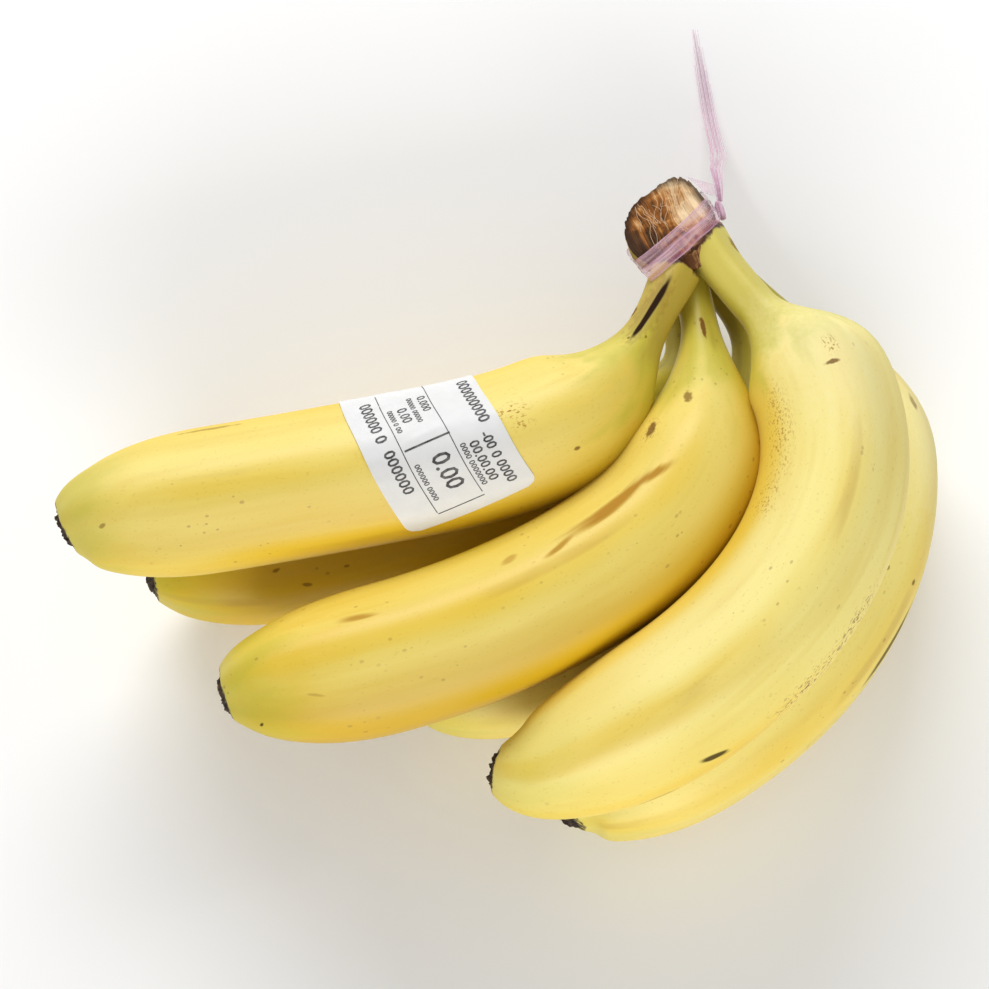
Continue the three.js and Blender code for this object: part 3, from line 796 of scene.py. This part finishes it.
def crown_block():
    """A plain drum is extruded, its top is inset ring by ring, and it is then shaped to the block."""
    bpy.ops.mesh.primitive_circle_add(vertices=CROWN_SIDES, radius=1, fill_type="NGON")
    drum = start_shape(bpy.context.object)
    for ring in range(CROWN_SIDE_RINGS):
        extrude_ring(1 / CROWN_SIDE_RINGS, ring / CROWN_SIDE_RINGS)
    for rings_left in range(CROWN_CUT_RINGS, 1, -1):
        extrude_ring(0, 1, (rings_left - 1) / rings_left)
    close_shape()
    unit = vertex_places(drum.data)
    keep_places(drum.data, "block", unit)
    for vertex, (x, y, z) in zip(drum.data.vertices, unit.tolist()):
        angle = math.atan2(y, x)
        vertex.co = crown_point(angle, z, 1 - math.hypot(x, y))
    return drum


def roughen_crown(crown):
    """Raises the fibres of the cut face, tears its rim and makes the side uneven."""
    mesh = crown.data
    for vertex, (x, y, z) in zip(mesh.vertices, kept_places(mesh, "block")):
        reach = math.hypot(x, y)
        place = vertex.co - CROWN_CENTRE
        across = place.dot(CROWN_ACROSS)
        out = place.dot(CROWN_OUT)
        away = place.dot(CROWN_AWAY)
        fibre = noise.noise(Vector((across * 1500, out * 1500, away * 130)))
        lump = noise.noise(Vector((across * 260, out * 260, away * 120)) + Vector((5, 2, 9)))
        if z > CUT_FROM and reach < CUT_FROM:
            rise = FIBRE_HEIGHT * fibre + LUMP_HEIGHT * lump
            vertex.co += CROWN_AWAY * rise + CROWN_OUT * rise * 0.5
        elif z > RIM_FROM:
            tear = TEAR_DEPTH * noise.noise(Vector((across * 700, out * 700, 3)))
            vertex.co += CROWN_AWAY * tear
        else:
            vertex.co += place.normalized() * SIDE_LUMPS * lump


def crown_material():
    """Cut stalk: lengthwise fibres from near black through rust to beige, and old peel round the side."""
    stalk = Finish("cut stalk", Roughness=0.85, Specular_IOR_Level=0.15)
    combine, ramp = stalk.combine, stalk.ramp
    block = stalk.attribute("block")
    x, y, z = stalk.node("SeparateXYZ", Vector=block).outputs
    fine, bundles, patches = [
        stalk.noise_of(block, 1, detail, (across, along, along), distortion=0.25)
        for across, along, detail in ((26, 1.6, 3), (9, 0.9, 2), (2.8, 2.6, 5))
    ]
    zone = combine("ADD", combine("MULTIPLY", x, 0.38), combine("MULTIPLY", y, -0.10))
    for pattern, share in ((patches, 0.95), (fine, 0.60), (bundles, 0.55)):
        zone = combine("ADD", zone, combine("MULTIPLY", pattern, share))
    cut = stalk.colours(combine("SUBTRACT", zone, 0.52), [
        (0.12, (0.035, 0.014, 0.005)), (0.32, (0.10, 0.040, 0.012)), (0.45, (0.27, 0.095, 0.018)),
        (0.56, (0.43, 0.19, 0.050)), (0.68, (0.62, 0.39, 0.19)), (0.92, (0.80, 0.61, 0.38)),
    ])
    old_peel = combine("SUBTRACT", combine("MULTIPLY", patches, 0.35), combine("MULTIPLY", x, 0.5))
    side = stalk.colours(combine("ADD", old_peel, combine("MULTIPLY", fine, 0.6)), [
        (0.02, (0.16, 0.065, 0.022)), (0.14, (0.50, 0.29, 0.14)), (0.30, (0.40, 0.21, 0.085)),
        (0.45, (0.14, 0.055, 0.02)), (0.72, (0.10, 0.040, 0.015)), (0.90, (0.46, 0.38, 0.075)),
    ])
    on_cut = ramp(z, 0.93, 0.985, easing="LINEAR")
    reach = stalk.length_of(stalk.node("CombineXYZ", X=x, Y=y).outputs["Vector"])
    uneven_reach = combine("ADD", reach, combine("MULTIPLY", patches, 0.1))
    rim = combine("MULTIPLY", ramp(uneven_reach, 0.86, 0.99, 0, 0.85, easing="LINEAR"), on_cut)
    colour = stalk.mix(rim, stalk.mix(on_cut, side, cut), (0.045, 0.019, 0.008))
    stalk.feed(stalk.shader, Base_Color=colour)
    stalk.bump(combine("ADD", combine("ADD", fine, bundles), patches), 0.9, 0.0006)
    return stalk.material


crown = crown_block()
apply_modifier(crown, "SUBSURF", levels=1, render_levels=1)
roughen_crown(crown)
bpy.ops.object.shade_smooth()
finish_piece(crown, "crown_stub", crown_material(), "cut_stalk", "crown")

FIBRES = 18
FIBRE_POINTS = 7
FIBRE_THICKNESS = 0.0001


def loose_fibre(seed):
    """A pale thread lying along the cut face, from near its far rim inwards."""
    draw = random.Random(seed)
    across = draw.uniform(-0.6, 0.7)
    high = -math.sqrt(1 - across ** 2) * draw.uniform(0.3, 0.97)
    drop = draw.uniform(0.3, 0.8)
    sway = draw.uniform(-0.3, 0.25)
    facing = (CROWN_AWAY + 0.6 * CROWN_OUT).normalized()
    points = []
    for i in range(FIBRE_POINTS):
        share = i / (FIBRE_POINTS - 1)
        y = high + drop * share
        x = across + sway * share + 0.035 * math.sin(seed + 1.7 * i)
        place = crown_point(math.atan2(y, x), 1, 1 - min(0.97, math.hypot(x, y)))
        found, hit, _, _ = crown.ray_cast(place + facing * 0.006, -facing)
        lift = 0.0001 + 0.0005 * abs(math.sin(seed * 2 + 1.1 * i))
        points.append((hit if found else place) + facing * lift)
    return thread(points, FIBRE_THICKNESS)


loose_fibres = join([loose_fibre(seed) for seed in range(FIBRES)])
fibre_material = Finish("pale fibre", Base_Color=(0.74, 0.56, 0.36), Roughness=0.7).material
finish_piece(loose_fibres, "crown_loose_fibres", fibre_material, "cut_stalk")

# ---- Price label ----
# White self-adhesive paper, wrapped over the first banana by hand and a little creased. Thin rules and
# plain noughts are printed on it in grey-black.

LABEL_FROM = 79  # from the root to the near edge, in millimetres along the banana
LABEL_WIDTH = 38
LABEL_WRAP = 56.6
LABEL_ANGLE = math.radians(76)
LABEL_SKEW = math.radians(12)
LABEL_CORNER = 3
LABEL_BOW = 2.3  # the middle of the label lies this much nearer the tip than its ends
LABEL_BOW_REACH = 24
PAPER_LIFT = 0.35
PAPER_THICKNESS = 0.16
PAPER_CELLS = (52, 78)
FIGURE_SIZE = 1.38  # the size of type, as a share of the height of its figures
INK_LIFT = PAPER_LIFT + PAPER_THICKNESS / 2 + 0.05
# Each crease: height, place, lean and width, then how fast and from where it comes and goes.
CREASES = ((0.22, 3.2, 0.10, 0.9, 0.25, 1), (0.16, -12, -0.12, 0.8, 0.2, 0))


def on_fruit(fruit, banana, x, y, lift):
    """Where a point of the flat label comes to lie on the fruit, lifted off its skin. Millimetres."""
    middle, right, up = place_on(banana, np.array([LABEL_FROM + LABEL_WIDTH / 2]))
    middle, right, up = Vector(middle[0]), Vector(right[0]), Vector(up[0])
    run = up.cross(right)
    bow = LABEL_BOW * (1 - (y / LABEL_BOW_REACH) ** 2)
    along = x * math.cos(LABEL_SKEW) - y * math.sin(LABEL_SKEW) + bow
    around = y * math.cos(LABEL_SKEW) + x * math.sin(LABEL_SKEW)
    angle = LABEL_ANGLE + around / banana["radius"]
    start = middle + run * along
    outward = right * math.cos(angle) + up * math.sin(angle)
    found, hit, _, _ = fruit.ray_cast(start * MM, outward)
    return hit + outward * lift * MM if found else start * MM


def crease(x, y):
    """How high the creased paper stands at a point of the flat label."""
    height = 0.10 * noise.noise(Vector((x * 0.06, y * 0.3, 1)))
    for high, place, lean, width, turn, start in CREASES:
        ridge = math.exp(-((y - place - lean * x) / width) ** 2)
        height += high * ridge * (0.5 + 0.5 * math.sin(x * turn + start))
    return height


def wrap_on_fruit(piece, fruit, banana, lift):
    """Bends a piece that is drawn flat, in millimetres, round the fruit."""
    for vertex in piece.data.vertices:
        x, y, _ = vertex.co
        vertex.co = on_fruit(fruit, banana, x, y, lift + crease(x, y))
    piece.data.update()


def paper_sheet():
    """The flat label, with rounded corners and a few soft creases across it."""
    bpy.ops.mesh.primitive_grid_add(x_subdivisions=PAPER_CELLS[0], y_subdivisions=PAPER_CELLS[1], size=1)
    sheet = bpy.context.object
    for vertex in sheet.data.vertices:
        y = vertex.co.y * LABEL_WRAP
        missing = max(0, LABEL_CORNER - (LABEL_WRAP / 2 - abs(y)))
        pulled = LABEL_CORNER - math.sqrt(LABEL_CORNER ** 2 - missing ** 2)
        x = vertex.co.x * (LABEL_WIDTH - 2 * pulled)
        vertex.co = (x, y, 0)
    keep_places(sheet.data, "flat", vertex_places(sheet.data))
    return sheet


def paper_material():
    """Smooth white label paper with a faint lengthwise unevenness."""
    paper = Finish("label paper", Roughness=0.5)
    clouds = paper.noise_of(paper.attribute("flat"), 0.25, 4)
    tone = paper.colours(clouds, [(0, (0.70, 0.70, 0.695)), (1, (0.79, 0.79, 0.785))])
    paper.feed(paper.shader, Base_Color=tone)
    paper.bump(clouds, 0.25, 0.0004)
    return paper.material


def ink_material():
    """Thermal print: grey-black, a little faded in places."""
    ink = Finish("label print", Roughness=0.6)
    fade = ink.noise_of(ink.node("TexCoord").outputs["Object"], 700)
    tone = ink.colours(fade, [(0.4, (0.035, 0.033, 0.033)), (0.75, (0.16, 0.155, 0.15))])
    ink.feed(ink.shader, Base_Color=tone)
    return ink.material


def rule(x, y, long, wide):
    """A printed line of this size, centred on x and y, cut across so that it can bend."""
    bpy.ops.mesh.primitive_grid_add(x_subdivisions=6, y_subdivisions=40, size=1, location=(x, y, 0))
    bpy.ops.transform.resize(value=(wide, long, 1))
    bpy.ops.object.transform_apply(location=True, rotation=True, scale=True)
    return bpy.context.object


def digits(text, x, y, height, squeeze, weight):
    """A row of figures that reads round the fruit, with its head towards the stalk."""
    bpy.ops.object.text_add(location=(x, y, 0), rotation=(0, 0, math.pi / 2))
    row = bpy.context.object
    row.data.body = text
    row.data.size = height * FIGURE_SIZE
    row.data.align_x = "CENTER"
    row.data.align_y = "CENTER"
    row.data.offset = weight
    row.data.resolution_u = 2
    row.scale = (squeeze, 1, 1)
    bpy.ops.object.convert(target="MESH")
    bpy.ops.object.transform_apply(location=True, rotation=True, scale=True)
    bpy.ops.object.mode_set(mode="EDIT")
    lowest = min(vertex.co.y for vertex in row.data.vertices)
    highest = max(vertex.co.y for vertex in row.data.vertices)
    for step in range(1, int(highest - lowest) + 1):
        bpy.ops.mesh.select_all(action="SELECT")
        bpy.ops.mesh.bisect(plane_co=(0, lowest + step, 0), plane_no=(0, 1, 0))
    bpy.ops.object.mode_set(mode="OBJECT")
    return row


first_banana = BANANAS[0]
first_fruit = bpy.data.objects["banana_1_fruit"]
label = paper_sheet()
wrap_on_fruit(label, first_fruit, first_banana, PAPER_LIFT)
apply_modifier(label, "SOLIDIFY", thickness=PAPER_THICKNESS * MM, offset=0)
bpy.ops.object.shade_smooth_by_angle(angle=math.radians(50))
finish_piece(label, "price_label_paper", paper_material(), "label_paper", "price_label")

# Rules: place across and round the label, length and width.
prints = [
    rule(9.0, 2.8, 43.6, 0.26), rule(-4.7, 2.5, 43, 0.26), rule(2.1, 25, 0.26, 13.7),
    rule(1.7, 5.6, 0.5, 13.4),
]
# Rows: what stands there, place across and round the label, height, squeeze and weight.
prints += [
    digits("0.00", 0.6, 14.8, 5.4, 0.84, 0.10), digits("000000 0000", 7.2, 15.6, 1.6, 0.98, 0.04),
    digits("0.000", -2.6, -8.0, 2.5, 0.98, 0.05), digits("00000 00000", 0.7, -6.6, 1.6, 1.0, 0.04),
    digits("0.00", 3.9, -5.6, 3.0, 0.95, 0.06), digits("00000 0 00", 7.2, -4.6, 1.6, 0.98, 0.04),
    digits("000000 0", 12.9, -7.6, 3.5, 0.95, 0.08), digits("000000", 12.6, 10.2, 3.3, 0.95, 0.08),
    digits("00.00.00", -9.4, 16.2, 2.9, 0.88, 0.07), digits("0000 0000000", -6.5, 16.0, 1.7, 0.95, 0.04),
    digits("000000000", -15.0, -3, 3.4, 0.92, 0.08), digits("-00 0 0000", -13.4, 17.0, 3.0, 0.86, 0.08),
]
label_print = join(prints)
wrap_on_fruit(label_print, first_fruit, first_banana, INK_LIFT)
finish_piece(label_print, "price_label_print", ink_material(), "label_paper")

# ---- Tie band and knot ----
# Thin pink film, drawn tight round the crown and the roots of the necks in lengthwise pleats, and
# knotted at the right-hand side.

LOOP_MIDDLE = Vector((0.0492, 0.0765, 0.0445))
LOOP_ACROSS = Vector((0.783, 0.615, 0.194)).normalized()
LOOP_THROUGH = Vector((0.1, -0.42, 0.9))
LOOP_THROUGH = (LOOP_THROUGH - LOOP_THROUGH.dot(LOOP_ACROSS) * LOOP_ACROSS).normalized()
LOOP_ALONG = LOOP_ACROSS.cross(LOOP_THROUGH)
BAND_WIDTH = 0.0072
BAND_LIFT = 0.0003
PLEAT_HEIGHT = 0.00042
FOLD_HEIGHT = 0.0003
BAND_SEGMENTS = 160
BAND_RINGS = 16
FILM_THICKNESS = 0.00008
SCRAP_THICKNESS = 0.00006
KNOT_CENTRE = Vector((0.0635, 0.0837, 0.046))


def loop_reach(angle):
    """How far the middle of the CAD band is from the middle of the loop, in this direction."""
    outward = LOOP_ACROSS * math.cos(angle) + LOOP_THROUGH * math.sin(angle)
    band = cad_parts["tie_band"]
    found, hit, _, _ = band.ray_cast(LOOP_MIDDLE, outward)
    return (hit - LOOP_MIDDLE).length if found else 0


def band_film():
    """An open sleeve is extruded ring by ring, then laid on the loop and pleated."""
    bpy.ops.mesh.primitive_circle_add(vertices=BAND_SEGMENTS, radius=1, fill_type="NOTHING")
    sleeve = start_shape(bpy.context.object)
    for ring in range(BAND_RINGS):
        extrude_ring(1 / BAND_RINGS, ring / BAND_RINGS)
    bpy.ops.object.mode_set(mode="OBJECT")
    reaches = [loop_reach(2 * math.pi * i / BAND_SEGMENTS) for i in range(BAND_SEGMENTS)]
    for i, reach in enumerate(reaches):
        if reach == 0:
            reaches[i] = reaches[i - 1]
    keep_places(sleeve.data, "sleeve", vertex_places(sleeve.data))
    for vertex in sleeve.data.vertices:
        x, y, z = vertex.co
        angle = math.atan2(y, x)
        reach = reaches[round(angle / (2 * math.pi) * BAND_SEGMENTS) % BAND_SEGMENTS]
        round_place = Vector((math.cos(angle), math.sin(angle), 0))
        pleat = noise.noise(Vector((round_place.x * 1.2, round_place.y * 1.2, z * 9)))
        fold = noise.noise(Vector((round_place.x * 2.5, round_place.y * 2.5, z * 3)) + Vector((7, 0, 0)))
        edge = 0.0011 * (2 * z - 1) * noise.noise(round_place * 2.4 + Vector((0, 0, 4 * round(z))))
        lifted = reach + BAND_LIFT + PLEAT_HEIGHT * pleat + FOLD_HEIGHT * fold
        outward = LOOP_ACROSS * math.cos(angle) + LOOP_THROUGH * math.sin(angle)
        vertex.co = LOOP_MIDDLE + outward * lifted + LOOP_ALONG * (BAND_WIDTH * (z - 0.5) + edge)
    sleeve.data.update()
    return sleeve


band = band_film()
apply_modifier(band, "SOLIDIFY", thickness=FILM_THICKNESS)
bpy.ops.object.shade_smooth()
band_material = film_material(
    "pink film band", (0.55, 0.19, 0.34), (0.08, 0.32), (1.5, 1.5, 7), along="sleeve"
)
finish_piece(band, "tie_band_film", band_material, "film", "tie_band")

bpy.ops.mesh.primitive_ico_sphere_add(subdivisions=4, radius=1, location=(0, 0, 0))
knot = bpy.context.object
for vertex in knot.data.vertices:
    x, y, z = vertex.co
    ball = Vector((x, y, z))
    crumple = 0.10 * noise.noise(ball * 2.2) + 0.06 * noise.noise(ball * 5)
    pleat = 1 + 0.18 * math.cos(7 * math.atan2(z, x))
    waist = (0.7 + 0.35 * y * y) * pleat
    gathered = Vector((0.0015 * x * waist - 0.0008 * y, 0.0030 * y, 0.0020 * z * waist))
    vertex.co = KNOT_CENTRE + gathered * (1 + crumple)
bpy.ops.object.shade_smooth()
knot_material = film_material("pink film knot", (0.78, 0.32, 0.56), (0.5, 0.85), (700, 150, 500))
finish_piece(knot, "tie_knot_film", knot_material, "film", "tie_knot")

# A clear corner of film stands between the crown and the knot, and a shred hangs at the other side.
scrap_mesh = bpy.data.meshes.new("scraps")
scrap_mesh.from_pydata(
    [
        (0.0540, 0.0949, 0.0452), (0.0590, 0.0862, 0.0525), (0.0640, 0.0868, 0.0475),
        (0.0636, 0.0915, 0.0462), (0.0431, 0.0662, 0.0360), (0.0405, 0.0722, 0.0305),
        (0.0391, 0.0720, 0.0350), (0.0396, 0.0728, 0.0345), (0.0412, 0.0724, 0.0308),
        (0.0437, 0.0672, 0.0365),
    ], [], [(0, 1, 2, 3), (4, 5, 8, 9), (5, 6, 7, 8)],
)
scraps = add_object("scraps", scrap_mesh)
apply_modifier(scraps, "SOLIDIFY", thickness=SCRAP_THICKNESS)
bpy.ops.object.shade_smooth()
scrap_material = film_material("pink film scraps", (0.84, 0.40, 0.62), (0.08, 0.34), (500, 90, 90))
finish_piece(scraps, "tie_film_scraps", scrap_material, "film")

# ---- Floor and light ----
# A plain pale surface and soft studio light from above and in front.

bpy.ops.mesh.primitive_plane_add(size=6, location=(0, 0, 0))
floor = bpy.context.object
floor.name = "floor"
floor_paint = Finish("pale floor", Base_Color=(0.93, 0.93, 0.93), Roughness=0.8)
floor.data.materials.append(floor_paint.material)


def soft_box(name, place, width, height, power):
    bpy.ops.object.light_add(type="AREA", location=place)
    lamp = bpy.context.object
    lamp.name = name
    lamp.data.shape = "RECTANGLE"
    lamp.data.size = width
    lamp.data.size_y = height
    lamp.data.energy = power
    lamp.rotation_euler = (-Vector(place)).to_track_quat("-Z", "Y").to_euler()


soft_box("back box", (-0.3, 1.35, 0.9), 1.4, 0.6, 25)
soft_box("front box", (0.2, -1.5, 0.8), 1.4, 0.6, 20)
world = bpy.data.worlds.new("studio")
bpy.context.scene.world = world
world.use_nodes = True
world.node_tree.nodes["Background"].inputs["Color"].default_value = (1, 1, 1, 1)
world.node_tree.nodes["Background"].inputs["Strength"].default_value = 0.34
bpy.context.scene.view_settings.view_transform = "Standard"
